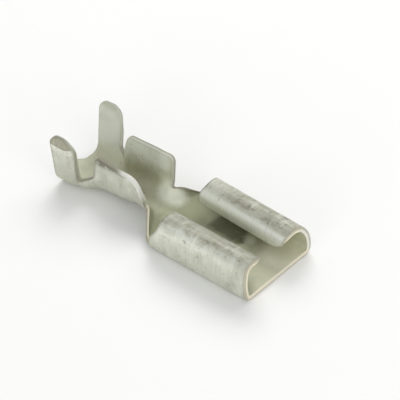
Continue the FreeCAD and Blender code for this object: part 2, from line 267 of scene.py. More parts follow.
# %% A smooth line through given points
def through(marks, u):
    """A curve without overshoot through points given in order of u."""
    slopes = [(b[1] - a[1]) / (b[0] - a[0]) for a, b in zip(marks, marks[1:])]
    tangents = [slopes[0]]
    for before, after in zip(slopes, slopes[1:]):
        tangents.append(2.0 * before * after / (before + after) if before * after > 0.0 else 0.0)
    tangents.append(slopes[-1])
    u = min(marks[-1][0], max(marks[0][0], u))
    number = 0
    while number < len(slopes) - 1 and u > marks[number + 1][0]:
        number += 1
    here, there = marks[number], marks[number + 1]
    span = there[0] - here[0]
    t = (u - here[0]) / span
    leaving = here[1] * (1.0 + 2.0 * t) * (1.0 - t) ** 2 + tangents[number] * span * t * (1.0 - t) ** 2
    arriving = there[1] * t * t * (3.0 - 2.0 * t) + tangents[number + 1] * span * t * t * (t - 1.0)
    return leaving + arriving


print("half way between two marks", through([(0.0, 0.0), (1.0, 1.0)], 0.5))


# %% Edges of the receptacle and the neck
def corner_drop(distance, radius):
    inside = min(radius, max(0.0, distance - (HALF_WIDTH - radius)))
    return radius - math.sqrt(radius * radius - inside * inside)


def curl_front(distance, side):
    slant = max(0.0, distance - CREST) / (HALF_WIDTH - CREST)
    back = LEAD_IN[side] * slant ** LEAD_IN_POWER[side]
    return max(0.0, back - LEAD_IN_SET + corner_drop(distance, LEAD_IN_ROUND[side]))


NECK_FLARE = [(1.71, 8.19), (2.01, 7.89), (2.35, 7.57)]
LEDGE = (2.60, 2.70, 3.02)
LEDGE_SLOPE = 0.07
WALL_REAR = [(3.60, 0.36), (4.05, 0.69), (4.60, 0.92)]
ROLL_END = 5.30
FLANK_START = (6.00, 0.16)


def curl_rear(distance, side):
    """Rear edge of the neck's flare, the ledge, the wall and the curl. WALL_REAR holds shares of the way."""
    crest = CURL_LENGTH[side]
    foot = LEDGE_LENGTH - LEDGE_STEP
    line = [(NECK_HALF, NECK_END - NECK_FLAT)] + NECK_FLARE
    line += [(LEDGE[0], LEDGE_LENGTH), (LEDGE[1], foot), (LEDGE[2], foot - LEDGE_SLOPE)]
    line += [(d, (1.0 - share) * foot + share * crest) for d, share in WALL_REAR]
    line += [(ROLL_END, crest), (FLANK_START[0], crest + FLANK_START[1])]
    line += [(HALF_WIDTH, crest + CURL_EDGE_SLANT)]
    return through(line, distance) - corner_drop(distance, CURL_REAR_ROUND)


def rim(distance):
    stub = STUB_LENGTH * (1.0 - smooth((distance - STUB_HALF) / STUB_BLEND))
    return BARREL_END - RIM_SETBACK * (1.0 - smooth((distance - RIM_FLAT) / RIM_BLEND)) + stub


print("rear end of the curls on the blank in mm", [round(curl_rear(HALF_WIDTH, side), 2) for side in (0, 1)])

# %% The height of a wing, carried to the blank
WING_LEAN = math.radians((CONDUCTOR_SPLAY + INSULATION_SPLAY) / 2)
WING_START = 0.2
SEARCH_FROM = 0.3
SEARCH_STEPS = 40


def reach(y, height, side):
    """Distance across the sheet at which a wing has this height, measured up the wing."""
    low, high = SEARCH_FROM, HALF_WIDTH
    for _ in range(SEARCH_STEPS):
        middle = (low + high) / 2
        x, z, _heading = walk(y, middle if side else -middle)
        if (x - WING_START) * math.sin(WING_LEAN) + z * math.cos(WING_LEAN) < height:
            low = middle
        else:
            high = middle
    return middle


print("the slot's bottom lies", round(reach(SLOT_END, SLOT_HEIGHT, 1), 2), "mm from the centre line")

# %% Round the corners of a line
CORNER_STEPS = 8


def rounded(corners):
    """Points along a line of (a, b, radius) corners, each but the first and last rounded by its radius."""
    points = [np.array(corners[0][:2])]
    for before, here, after in zip(corners, corners[1:], corners[2:]):
        spot = np.array(here[:2])
        inward = np.array(before[:2]) - spot
        outward = np.array(after[:2]) - spot
        inward /= np.linalg.norm(inward)
        outward /= np.linalg.norm(outward)
        half = math.acos(np.clip(inward @ outward, -1.0, 1.0)) / 2
        start = spot + inward * here[2] / math.tan(half)
        centre = spot + (inward + outward) / np.linalg.norm(inward + outward) * here[2] / math.sin(half)
        first = start - centre
        sweep = (math.pi - 2 * half) * (1.0 if first[0] * inward[1] - first[1] * inward[0] < 0.0 else -1.0)
        for step in range(CORNER_STEPS + 1):
            angle = sweep * step / CORNER_STEPS
            turned = np.array([[math.cos(angle), -math.sin(angle)], [math.sin(angle), math.cos(angle)]])
            points.append(centre + turned @ first)
    points.append(np.array(corners[-1][:2]))
    return points


print("points on each rounded corner", CORNER_STEPS + 1)

# %% Outlines of the wings
SIDE_FOOT = 2.2
SLOT_FLOOR = (SLOT_END, SLOT_HEIGHT, SLOT_ROUND)
FAR_TIP = [SLOT_FLOOR, (SLOT_END, INSULATION_HEIGHT - 0.38, 0.35),
           (SLOT_END + 0.52, INSULATION_HEIGHT + 0.06, 0.30),
           (BARREL_END, INSULATION_HEIGHT - 0.16, TIP_ROUND), (BARREL_END, SIDE_FOOT, 0.0)]
NEAR_TIP = [SLOT_FLOOR, (SLOT_END, INSULATION_HEIGHT - 0.55, 0.50),
            (SLOT_END + 0.62, INSULATION_HEIGHT + 0.07, 0.50),
            (BARREL_END, INSULATION_HEIGHT - 0.04, NEAR_TIP_ROUND), (BARREL_END, SIDE_FOOT, 0.0)]
NEAR_WING = [(NECK_END, 1.70, 0.0), (NECK_END + 0.42, 2.45, 0.30), (NECK_END + 1.10, 2.88, 0.80),
             (NECK_END + 3.53, 2.95, 0.08), (NECK_END + 3.75, SLOT_HEIGHT + 0.25, SLOT_ROUND)]
FAR_WING = [(NECK_END, 2.30, 0.0), (NECK_END, 3.28, 0.42), (NECK_END + 3.26, 3.16, 0.35),
            (NECK_END + 3.85, SLOT_HEIGHT + 0.05, SLOT_ROUND)]
print("top of the conductor wings in mm, near and far", NEAR_WING[3][1], FAR_WING[1][1])


# %% Trace one half of the blank, from the mouth to the rear
CURL_STEPS = 160
RIM_STEPS = 90
SAME_SPOT = 1e-6


def half_outline(side):
    path = [(d, curl_front(d, side)) for d in np.linspace(0.0, HALF_WIDTH, CURL_STEPS)]
    path += [(d, curl_rear(d, side)) for d in np.linspace(HALF_WIDTH, NECK_HALF, CURL_STEPS)]
    path += [(NECK_HALF, NECK_END)]
    wings = rounded(FAR_WING + FAR_TIP if side else NEAR_WING + NEAR_TIP)
    path += [(reach(y, height, side), y) for y, height in wings]
    rim_start = reach(BARREL_END, SIDE_FOOT, side)
    path += [(d, rim(d)) for d in np.linspace(rim_start, 0.0, RIM_STEPS)[1:]]
    sign = 1.0 if side else -1.0
    return [(sign * d, y) for d, y in path]


def evenly(points, spacing):
    """The same closed line with points at an even spacing."""
    points = np.array(points)
    points = np.vstack([points, points[:1]])
    steps = np.linalg.norm(np.diff(points, axis=0), axis=1)
    points = points[np.concatenate([[True], steps > SAME_SPOT])]
    along = np.concatenate([[0.0], np.cumsum(np.linalg.norm(np.diff(points, axis=0), axis=1))])
    count = int(round(along[-1] / spacing))
    wanted = np.linspace(0.0, along[-1], count + 1)[:-1]
    return np.stack([np.interp(wanted, along, points[:, axis]) for axis in (0, 1)], 1)


OUTLINE_STEP = 0.045
SOFTENING_PASSES = 2
far_half, near_half = half_outline(1), half_outline(0)
outline = evenly(far_half + near_half[::-1][1:-1], OUTLINE_STEP)
for _ in range(SOFTENING_PASSES):
    outline = (np.roll(outline, 1, axis=0) + 2.0 * outline + np.roll(outline, -1, axis=0)) / 4.0
next_one = np.roll(outline, -1, axis=0)
area = 0.5 * abs(np.sum(outline[:, 0] * next_one[:, 1] - outline[:, 1] * next_one[:, 0]))
print("blank:", len(outline), "points round it,", round(area, 1), "mm2")

# %% [markdown]
# ## Facets, cut edges and the lanced detent
# A punched edge is never sharp. The punch first pulls the surface in, which
# leaves a small rounding on the side it came from, and then shears straight
# through. Rings inside the outline carry that rounding. In the floor of the
# receptacle the tool also slits the sheet and presses one side of the slit up
# into a half dome, the detent that drops into the hole of the tab. The slit is
# a hair-thin hole in the blank.

# %% Rings round the outline and the slit
ROLL = 0.050
BURR = 0.022
RING = 0.070
GRID = 0.105
SLIT_GAP = 0.006
SLIT_SCALE = 0.35
SLIT_POINTS = 46
ROLL_ANGLES = (0, 30, 60, 90)
BURR_ANGLES = (90, 45, 0)


def inward(line):
    """Unit normals to the left of a closed line, which is the side of the metal."""
    ahead = np.roll(line, -1, axis=0) - np.roll(line, 1, axis=0)
    ahead /= np.linalg.norm(ahead, axis=1)[:, None]
    return np.stack([-ahead[:, 1], ahead[:, 0]], 1)


def edge_rows(scale):
    """(inset, offset) of each ring from the outer face over the cut edge to the inner face."""
    rows = [(RING * scale, HALF)]
    for angle in map(math.radians, ROLL_ANGLES):
        rows.append((ROLL * scale * (1 - math.sin(angle)), HALF - ROLL * scale * (1 - math.cos(angle))))
    for angle in map(math.radians, BURR_ANGLES):
        rows.append((BURR * scale * (1 - math.sin(angle)), -HALF + BURR * scale * (1 - math.cos(angle))))
    return rows + [(RING * scale, -HALF)]


angles = np.linspace(0.0, math.pi, SLIT_POINTS)
slit_x = -DETENT_RADIUS * np.cos(angles)
slit_y = SLIT_GAP * np.sin(angles)
slit = np.vstack([np.stack([slit_x, DETENT_FROM_MOUTH + slit_y], 1),
                  np.stack([slit_x, DETENT_FROM_MOUTH - slit_y], 1)[::-1][1:-1]])
loops = [(outline, inward(outline), edge_rows(1.0)), (slit, inward(slit), edge_rows(SLIT_SCALE))]
print("rows over each cut edge", len(loops[0][2]), "and points round the slit", len(slit))


# %% Which points lie in the metal, and how near its edge
CHUNK = 2000


def is_inside(points, ring):
    """Whether each point lies inside the ring, by counting the ring's sides that it crosses."""
    a, b = ring, np.roll(ring, -1, axis=0)
    found = []
    for part in np.array_split(points, max(1, len(points) // CHUNK)):
        x, y = part[:, :1], part[:, 1:]
        straddles = (a[:, 1] > y) != (b[:, 1] > y)
        rise_of_side = np.where(a[:, 1] == b[:, 1], 1.0, b[:, 1] - a[:, 1])
        crossing = a[:, 0] + (y - a[:, 1]) * (b[:, 0] - a[:, 0]) / rise_of_side
        found.append((np.sum(straddles & (x < crossing), axis=1) % 2).astype(bool))
    return np.concatenate(found)


def gap_to(points, line):
    """Distance of each point to the nearest point of the line."""
    parts = np.array_split(points, max(1, len(points) // CHUNK))
    return np.concatenate([np.linalg.norm(part[:, None] - line[None], axis=2).min(axis=1) for part in parts])


print("the middle of the slit is", "inside" if is_inside(slit.mean(axis=0)[None], outline)[0] else "outside",
      "the outline")

# %% Fill the blank with small triangles
CLEARANCE = 0.6 * GRID
MERGE_WITHIN = 1e-7
face_rings = [line + normal * rows[0][0] for line, normal, rows in loops]
low, high = outline.min(axis=0), outline.max(axis=0)
across, along = np.meshgrid(np.arange(low[0], high[0], GRID), np.arange(low[1], high[1], GRID))
grid = np.stack([across.ravel(), along.ravel()], 1)
grid = grid[is_inside(grid, face_rings[0])]
borders = np.vstack(face_rings)
grid = grid[gap_to(grid, borders) >= CLEARANCE]

flat = np.vstack([borders, grid])
sides, start = [], 0
for ring in face_rings:
    sides += [(start + i, start + (i + 1) % len(ring)) for i in range(len(ring))]
    start += len(ring)
filled = delaunay_2d_cdt([Vector(p) for p in flat], sides, [], 0, MERGE_WITHIN)
flat = np.array([tuple(p) for p in filled[0]])
triangles = np.array(filled[2])
middles = flat[triangles].mean(axis=1)
keep = is_inside(middles, face_rings[0]) & ~is_inside(middles, face_rings[1])
triangles = triangles[keep]
print("points on a face", len(flat), "of", len(borders) + len(grid), "given, triangles", len(triangles))

# %% Join both faces over the cut edges
ON_THE_CUT = 0.9
blank = [(d, y, HALF, 0.0) for d, y in flat] + [(d, y, -HALF, 0.0) for d, y in flat]
facets = [tuple(t) for t in triangles + len(flat)] + [tuple(t[::-1]) for t in triangles]
start = 0
for line, normal, rows in loops:
    count = len(line)
    numbers = [[start + i for i in range(count)]]
    for inset, offset in rows[1:-1]:
        first = len(blank)
        cut = 1.0 if inset < ON_THE_CUT * rows[1][0] else 0.0
        blank += [(d, y, offset, cut) for d, y in line + normal * inset]
        numbers.append(list(range(first, first + count)))
    numbers.append([len(flat) + start + i for i in range(count)])
    for one, two in zip(numbers, numbers[1:]):
        facets += [(one[i], one[(i + 1) % count], two[(i + 1) % count], two[i]) for i in range(count)]
    start += count
print("corners", len(blank), "facets", len(facets))

# %% [markdown]
# ## Bending
# Every point of the blank is carried to its place on the bent section, and moved
# off the middle of the sheet by its share of the thickness. The dome follows two
# spheres round one centre, so the pressed-up metal keeps its thickness. The
# insulation wings are coined thin at their front edge and tip, so that they curl
# over the insulation without cutting it. The floor is struck flat last.

# %% Bend the blank
dome_radius = (DETENT_RADIUS ** 2 + DETENT_HEIGHT ** 2) / (2.0 * DETENT_HEIGHT)
dome_centre = SHEET - STRUCK_FLAT + DETENT_HEIGHT - dome_radius
splay = math.radians(INSULATION_SPLAY)
COIN_START = SLOT_END - 0.1
COIN_SHOULDER = INSULATION_HEIGHT - 0.4
COIN_THINNEST = 0.08


def coined(y, up):
    """Depth pressed off the outer face of an insulation wing at a height up the wing."""
    if y < COIN_START or up < COIN_FOOT:
        return 0.0
    front = (up - COIN_FOOT) / (COIN_SHOULDER - COIN_FOOT) - (y - SLOT_END) / COIN_LENGTH
    tip = (up - INSULATION_HEIGHT + COIN_LENGTH) / COIN_LENGTH
    return min(SHEET - COIN_THINNEST, COIN_DEPTH * max(0.0, front, tip))


def bend(distance, y, offset):
    x, z, heading = walk(y, distance)
    up = (x + HALF * math.cos(splay)) * math.sin(splay) + z * math.cos(splay)
    offset = -HALF + (offset + HALF) * (1.0 - coined(y, up) / SHEET)
    x += offset * math.sin(heading)
    z -= offset * math.cos(heading)
    spread = distance * distance + (y - DETENT_FROM_MOUTH) ** 2
    if y < DETENT_FROM_MOUTH and spread < DETENT_RADIUS ** 2:
        sphere = dome_radius - SHEET + (HALF - offset)
        z = max(z, dome_centre + math.sqrt(max(0.0, sphere * sphere - spread)))
    return math.copysign(x, distance), y, max(0.0, z)


bent = np.array([bend(d, y, offset) for d, y, offset, _cut in blank]) * MM
over = np.maximum(np.array(cad_low) - bent, bent - np.array(cad_high)).max(axis=0)
print("furthest outside the solid's box before clipping, in mm", np.round(over / MM, 4))
bent = np.clip(bent, np.array(cad_low), np.array(cad_high))

# %% The piece
mesh = bpy.data.meshes.new("bent_sheet")
mesh.from_pydata(bent.tolist(), [], facets)
mesh.polygons.foreach_set("use_smooth", [True] * len(mesh.polygons))
corners = np.empty(len(mesh.loops), dtype=np.int32)
mesh.loops.foreach_get("vertex_index", corners)
flat_places = np.array(blank)
layout = mesh.uv_layers.new(name="blank")
layout.data.foreach_set("uv", flat_places[corners, :2].astype(np.float32).ravel())
inner = mesh.attributes.new("inner_face", "FLOAT", "POINT")
inner.data.foreach_set("value", ((HALF - flat_places[:, 2]) / SHEET).astype(np.float32))
cut_edge = mesh.attributes.new("cut_edge", "FLOAT", "POINT")
cut_edge.data.foreach_set("value", flat_places[:, 3].astype(np.float32))
border = mesh.attributes.new("from_edge", "FLOAT", "POINT")
border.data.foreach_set("value", gap_to(flat_places[:, :2], outline).astype(np.float32))
mesh.update()
piece = bpy.data.objects.new("bent_sheet", mesh)
bpy.context.scene.collection.objects.link(piece)
print("triangles", sum(len(p.vertices) - 2 for p in mesh.polygons))
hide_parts("terminal")
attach(piece, "root")

# %% [markdown]
# ## The finish
# Bright tin over brass that has been handled: the tin is satin, a little cloudy,
# and warmer on the inside, where the metal mirrors itself. Bending dragged fine
# streaks round the walls and left brownish rub marks along the tops of both
# curls. The wire barrel keeps an olive-brown stain, and the punched edges show
# creamy metal that was never plated.
# Some marks are painted light and shade instead: highlights, shadows and dark lines laid into the colour.

# %% Tools for shader trees
def put(tree, kind, **settings):
    node = tree.nodes.new(kind)
    for name, value in settings.items():
        setattr(node, name, value)
    return node


def feed(tree, socket, value):
    if isinstance(value, bpy.types.NodeSocket):
        tree.links.new(value, socket)
    else:
        socket.default_value = value


def sums(tree, operation, *values):
    node = put(tree, "ShaderNodeMath", operation=operation)
    for socket, value in zip(node.inputs, values):
        feed(tree, socket, value)
    return node.outputs[0]


print("tools:", [tool.__name__ for tool in (put, feed, sums)])


# %% Tools for ramps, noises, colours and groups
def ramp(tree, value, low, high, first=0.0, last=1.0):
    node = put(tree, "ShaderNodeMapRange", interpolation_type="SMOOTHSTEP")
    feed(tree, node.inputs["Value"], value)
    for name, number in (("From Min", low), ("From Max", high), ("To Min", first), ("To Max", last)):
        node.inputs[name].default_value = number
    return node.outputs["Result"]


def noise(tree, place, scale, stretch=(1.0, 1.0, 1.0), detail=3.0, roughness=0.5):
    """Noise over the blank, in marks per millimetre."""
    mapping = put(tree, "ShaderNodeMapping")
    feed(tree, mapping.inputs["Vector"], place)
    mapping.inputs["Scale"].default_value = stretch
    node = put(tree, "ShaderNodeTexNoise", noise_dimensions="3D")
    feed(tree, node.inputs["Vector"], mapping.outputs[0])
    node.inputs["Scale"].default_value = scale
    node.inputs["Detail"].default_value = detail
    node.inputs["Roughness"].default_value = roughness
    return node.outputs["Fac"]


def blend(tree, amount, one, two):
    node = put(tree, "ShaderNodeMix", data_type="RGBA", blend_type="MIX")
    feed(tree, node.inputs["Factor"], amount)
    feed(tree, node.inputs[6], one)
    feed(tree, node.inputs[7], two)
    return node.outputs[2]


def group(name, inputs, outputs):
    """A node group with its sockets, and its input and output nodes."""
    tree = bpy.data.node_groups.new(name, "ShaderNodeTree")
    for label, kind in inputs:
        tree.interface.new_socket(label, in_out="INPUT", socket_type=kind)
    for label, kind in outputs:
        tree.interface.new_socket(label, in_out="OUTPUT", socket_type=kind)
    return tree, put(tree, "NodeGroupInput"), put(tree, "NodeGroupOutput")


print("tools:", [tool.__name__ for tool in (ramp, noise, blend, group)])

# %% [markdown]
# ## A patch with a ragged edge
# Stains and painted highlights and shadows are blots with torn borders. Each one
# is an ellipse at a place on the flat blank, and noise pulls its edge in and out.
# It could be painted on an image, but a shared group of a few nodes stays sharp
# close up and can be moved by changing two numbers.

# %% A patch with a ragged edge, placed on the blank
PATCH_GRAIN = 1.6
PATCH_EDGE = (1.15, 0.45)
patch, patch_in, patch_out = group(
    "ragged_patch",
    [("Place", "NodeSocketVector"), ("Centre", "NodeSocketVector"), ("Size", "NodeSocketVector"),
     ("Raggedness", "NodeSocketFloat")],
    [("Mask", "NodeSocketFloat")])
away = put(patch, "ShaderNodeVectorMath", operation="SUBTRACT")
feed(patch, away.inputs[0], patch_in.outputs["Place"])
feed(patch, away.inputs[1], patch_in.outputs["Centre"])
scaled = put(patch, "ShaderNodeVectorMath", operation="DIVIDE")
feed(patch, scaled.inputs[0], away.outputs[0])
feed(patch, scaled.inputs[1], patch_in.outputs["Size"])
span = put(patch, "ShaderNodeVectorMath", operation="LENGTH")
feed(patch, span.inputs[0], scaled.outputs[0])
grain = noise(patch, patch_in.outputs["Place"], PATCH_GRAIN, detail=4.0, roughness=0.6)
ragged = sums(patch, "SUBTRACT", grain, 0.5)
edge = sums(patch, "MULTIPLY_ADD", ragged, patch_in.outputs["Raggedness"], span.outputs["Value"])
feed(patch, patch_out.inputs["Mask"], ramp(patch, edge, *PATCH_EDGE))
print("group", patch.name, "with inputs", [socket.name for socket in patch_in.outputs if socket.name])

# %% The tinned brass, and where a point of it lies on the blank
metal = bpy.data.materials.new("tinned_brass_worn_and_painted_light")
metal.use_nodes = True
tree = metal.node_tree
tree.nodes.clear()
surface = put(tree, "ShaderNodeBsdfPrincipled")
finish_out = put(tree, "ShaderNodeOutputMaterial")
tree.links.new(surface.outputs[0], finish_out.inputs["Surface"])

place = put(tree, "ShaderNodeUVMap", uv_map="blank").outputs["UV"]
split = put(tree, "ShaderNodeSeparateXYZ")
feed(tree, split.inputs[0], place)
distance, along_part = split.outputs["X"], split.outputs["Y"]
inner_share = put(tree, "ShaderNodeAttribute", attribute_name="inner_face").outputs["Fac"]
edge_share = put(tree, "ShaderNodeAttribute", attribute_name="cut_edge").outputs["Fac"]
from_edge = put(tree, "ShaderNodeAttribute", attribute_name="from_edge").outputs["Fac"]
print("material", metal.name, "placed by the layer blank")


# %% Tools for masks
def ragged_spot(centre, size, raggedness):
    """A ragged patch at a place (across, along) on the blank."""
    node = put(tree, "ShaderNodeGroup", node_tree=patch)
    feed(tree, node.inputs["Place"], place)
    node.inputs["Centre"].default_value = (centre[0], centre[1], 0.0)
    node.inputs["Size"].default_value = (size[0], size[1], 1.0)
    node.inputs["Raggedness"].default_value = raggedness
    return node.outputs["Mask"]


def strip(value, low, high, soft):
    """A mask between two values, with soft ends."""
    rising = ramp(tree, value, low - soft, low + soft)
    falling = ramp(tree, value, high + soft, high - soft)
    return sums(tree, "MULTIPLY", rising, falling)


def both(*masks):
    """Where all of these masks are."""
    found = masks[0]
    for mask in masks[1:]:
        found = sums(tree, "MULTIPLY", found, mask)
    return found


def without(mask):
    """Everywhere but this mask."""
    return sums(tree, "SUBTRACT", 1.0, mask)


print("tools:", [tool.__name__ for tool in (ragged_spot, strip, both, without)])

# %% Masks on the blank
INNER_FROM = (0.4, 0.6)
MIDDLE_SOFT = 0.3
WINGS_FROM = (8.4, 9.0)
INSULATION_FROM = (13.0, 13.1)
CURLS_UNTIL = (7.2, 6.8)
MOUTH_UNTIL = (2.0, 1.6)
inner_mask = ramp(tree, inner_share, *INNER_FROM)
outer_mask = without(inner_mask)
near_side = ramp(tree, distance, MIDDLE_SOFT, -MIDDLE_SOFT)
far_side = ramp(tree, distance, -MIDDLE_SOFT, MIDDLE_SOFT)
on_wings = ramp(tree, along_part, *WINGS_FROM)
on_insulation = ramp(tree, along_part, *INSULATION_FROM)
on_curls = ramp(tree, along_part, *CURLS_UNTIL)
mouth = ramp(tree, along_part, *MOUTH_UNTIL)
print("nodes for the masks", len(tree.nodes))

# %% [markdown]
# ## Plain tin
# Hot tin freezes in faint clouds, and the bending tool drags fine lines along
# the sheet. Both are noises on the blank, stretched along or across it, so that
# the lines bend with the metal. The first layers of colour come from them.

# %% Noises on the blank, from clouds in the tin to the tool's drag marks
cloud = noise(tree, place, 0.55, detail=5.0, roughness=0.6)
fine = noise(tree, place, 5.0, detail=4.0, roughness=0.65)
hoop = noise(tree, place, 1.0, stretch=(0.5, 9.0, 1.0), detail=4.0, roughness=0.6)
lengthwise = noise(tree, place, 1.0, stretch=(9.0, 0.55, 1.0), detail=4.0, roughness=0.6)
dabs = noise(tree, place, 1.0, stretch=(2.6, 1.4, 1.0), detail=5.0, roughness=0.7)
patches = noise(tree, place, 1.0, stretch=(0.9, 1.5, 1.0), detail=3.0, roughness=0.55)
scuffs = noise(tree, place, 1.0, stretch=(4.5, 2.2, 1.0), detail=2.0)
streaks = noise(tree, place, 1.0, stretch=(0.35, 16.0, 1.0), detail=3.0, roughness=0.7)
print("noises", sum(node.type == "TEX_NOISE" for node in tree.nodes))

# %% Colours of the finish
# Besides the tin's own tones, some of these colours lay painted light and shade: painted highlights, painted
# light on the floor, painted shadows and dark lines beside the edges.
OUTER_TIN = (0.650, 0.665, 0.570, 1.0)
WING_TIN = (0.680, 0.700, 0.610, 1.0)
INNER_TIN = (0.660, 0.665, 0.500, 1.0)
CLOUD_TIN_AND_SHADE = (0.520, 0.530, 0.430, 1.0)
BRIGHT_TIN_AND_HIGHLIGHT = (0.850, 0.870, 0.770, 1.0)
WHITE_HIGHLIGHT = (0.950, 0.950, 0.920, 1.0)
BEIGE = (0.840, 0.820, 0.640, 1.0)
PAINTED_FLOOR_LIGHT = (0.960, 0.940, 0.780, 1.0)
OLIVE = (0.300, 0.315, 0.195, 1.0)
STAIN = (0.150, 0.128, 0.070, 1.0)
RUB_AND_SHADE = (0.330, 0.310, 0.225, 1.0)
GRIME_AND_SHADE = (0.160, 0.145, 0.095, 1.0)
PAINTED_SHADOW = (0.110, 0.108, 0.060, 1.0)
CREAM = (0.800, 0.760, 0.610, 1.0)
GREY_EDGE = (0.560, 0.570, 0.480, 1.0)
PALE_EDGE = (0.740, 0.740, 0.680, 1.0)
TAN = (0.250, 0.230, 0.160, 1.0)
LIP = (0.800, 0.740, 0.620, 1.0)
print("outside", OUTER_TIN[:3], "and inside", INNER_TIN[:3])

# %% Plain tin, outside and inside
WALLS_FROM = (1.4, 2.6)
far_from_floor = ramp(tree, sums(tree, "ABSOLUTE", distance), *WALLS_FROM)
finish_colour = blend(tree, inner_mask, OUTER_TIN, INNER_TIN)
finish_colour = blend(tree, both(inner_mask, on_wings, far_from_floor), finish_colour, WING_TIN)
finish_colour = blend(tree, ramp(tree, cloud, 0.42, 0.72, 0.0, 0.6), finish_colour, CLOUD_TIN_AND_SHADE)
finish_colour = blend(tree, ramp(tree, hoop, 0.50, 0.80, 0.0, 0.35), finish_colour, CLOUD_TIN_AND_SHADE)


def paint(mask, strength, colour):
    """Lay a colour over the tin so far, where the mask is."""
    global finish_colour
    finish_colour = blend(tree, sums(tree, "MULTIPLY", mask, strength), finish_colour, colour)


def dab(mark, *masks):
    """Paint a ragged patch. A mark holds its place, size, raggedness, strength and colour."""
    centre, size, raggedness, strength, colour = mark
    paint(both(ragged_spot(centre, size, raggedness), *masks), strength, colour)


print("nodes with the plain tin", len(tree.nodes))

# %% [markdown]
# ## Marks of use, painted light and painted shade
# The marks are laid over the tin one after the other, inside first and then
# outside. Handling wears the parts that stick out: the crests of the curls and
# the tips of the wings. Dirt stays where nothing rubs: in the neck and in the
# wire barrel. Other marks are painted light and shade: painted shadow behind
# the detent and under the curls, painted light on the floor at the mouth and on
# the detent's dome, painted highlights on the neck, the near roll and the far
# flank, and painted shade on the near wings. A span is (low, high, softness) in
# millimetres on the blank, and a patch is (place, size, raggedness, strength,
# colour).

# %% Stains in the wire barrel and the neck, and a painted highlight and glint on the neck
BARREL_STAIN = ((0.9, 10.5), (1.75, 2.1), 1.0, 0.30, STAIN)
BARREL_SPOT = ((1.6, 11.4), (1.2, 1.2), 1.3, 0.20, STAIN)
NECK_OLIVE = ((1.2, 6.90), (2.2, 2.3), 0.6, 0.68, OLIVE)
NECK_FOLD = ((-1.7, 7.6), (1.3, 1.7), 0.6, 0.75, OLIVE)
# Painted highlight: a pale soft spot on the neck, and a small white painted glint at its far edge.
NECK_HIGHLIGHT = ((1.0, 8.50), (1.0, 1.0), 0.5, 0.72, BRIGHT_TIN_AND_HIGHLIGHT)
NECK_GLINT = ((1.60, 8.46), (0.34, 0.24), 0.2, 0.90, WHITE_HIGHLIGHT)
NECK_SPAN = (5.8, 8.9, 0.5)
dab(BARREL_STAIN, inner_mask)
dab(BARREL_SPOT, inner_mask)
dab(NECK_OLIVE, inner_mask)
neck = both(strip(along_part, *NECK_SPAN), inner_mask)
paint(neck, 0.14, OLIVE)
dab(NECK_FOLD, inner_mask)
# Painted highlight and painted glint on the neck.
dab(NECK_HIGHLIGHT, inner_mask)
dab(NECK_GLINT)
print("nodes with the barrel and the neck", len(tree.nodes))

# %% Marks on the receptacle's floor: painted light and painted shadow round the detent and under the curls
# Painted shadow behind the detent and along its slit, painted shade under the curls, and painted light at
# the mouth and on the dome.
BEHIND_DETENT = ((3.42, 5.60, 0.20), (0.50, 2.10, 0.20))
UNDER_CURLS = ((2.0, 5.4, 0.5), (-2.2, 2.4, 0.3))
DETENT_SPAN = (2.2, DETENT_FROM_MOUTH, 0.02)
FAR_TIP_SPAN = (4.75, 6.0, 0.20)
MOUTH_PAINTED_LIGHT = ((1.5, 0.9), (1.5, 1.5), 0.4, 0.95, PAINTED_FLOOR_LIGHT)
DETENT_CROWN = ((0.0, DETENT_FROM_MOUTH), (1.9, 1.9), 0.1, 0.35, BEIGE)
DETENT_RIM = ((0.62, 3.22), (0.62, 0.36), 0.2, 0.80, PAINTED_SHADOW)
DETENT_HIGHLIGHT = ((1.15, 2.95), (0.50, 0.38), 0.2, 0.60, BRIGHT_TIN_AND_HIGHLIGHT)
# Painted light on the floor at the mouth.
dab(MOUTH_PAINTED_LIGHT, inner_mask)
# Painted light on the front of the detent's dome.
dab(DETENT_CROWN, strip(along_part, *DETENT_SPAN), inner_mask)
# Painted shadow on the floor behind the detent, under the far curl.
behind_detent = both(strip(along_part, *BEHIND_DETENT[0]), strip(distance, *BEHIND_DETENT[1]), inner_mask)
# Painted shade on the floor between and under the curls.
under_curls = both(strip(along_part, *UNDER_CURLS[0]), inner_mask, strip(distance, *UNDER_CURLS[1]))
paint(under_curls, 0.35, OLIVE)
paint(both(behind_detent, ramp(tree, dabs, 0.20, 0.45)), 0.72, PAINTED_SHADOW)
# Painted shadow along the detent's slit.
dab(DETENT_RIM, inner_mask)
# Painted highlight on the top of the detent's dome.
dab(DETENT_HIGHLIGHT, inner_mask)
paint(both(strip(distance, *FAR_TIP_SPAN), on_insulation, inner_mask), 0.95, CLOUD_TIN_AND_SHADE)
print("nodes with the marks inside", len(tree.nodes))

# %% Marks on the curls: rubbed crests, a painted highlight on the near roll, and painted light on the far flank
NEAR_CREST = (-5.75, -4.72, 0.10)
FAR_CREST = (4.72, 5.75, 0.12)
NEAR_ROLL = (-4.75, -4.15, 0.15)
ROLL_REAR = (0.2, 4.0)
FLANK_FROM = (5.75, 6.00)
FLANK_SHINE = (5.9, 6.45, 0.15)
SHINE_FADES = (5.5, 1.0)
FAR_REAR = ((5.3, 5.7), (0.7, 0.9), 0.5, 0.40, BRIGHT_TIN_AND_HIGHLIGHT)
both_crests = sums(tree, "MAXIMUM", strip(distance, *NEAR_CREST), strip(distance, *FAR_CREST))
crests = both(both_crests, outer_mask, on_curls)
more_on_far = ramp(tree, distance, -1.0, 1.0, 0.7, 1.0)
paint(crests, 0.30, RUB_AND_SHADE)
paint(both(crests, ramp(tree, lengthwise, 0.42, 0.66)), 0.45, RUB_AND_SHADE)
paint(both(crests, ramp(tree, dabs, 0.50, 0.66), more_on_far), 0.60, GRIME_AND_SHADE)
paint(both(ramp(tree, patches, 0.52, 0.62), outer_mask), 0.22, RUB_AND_SHADE)
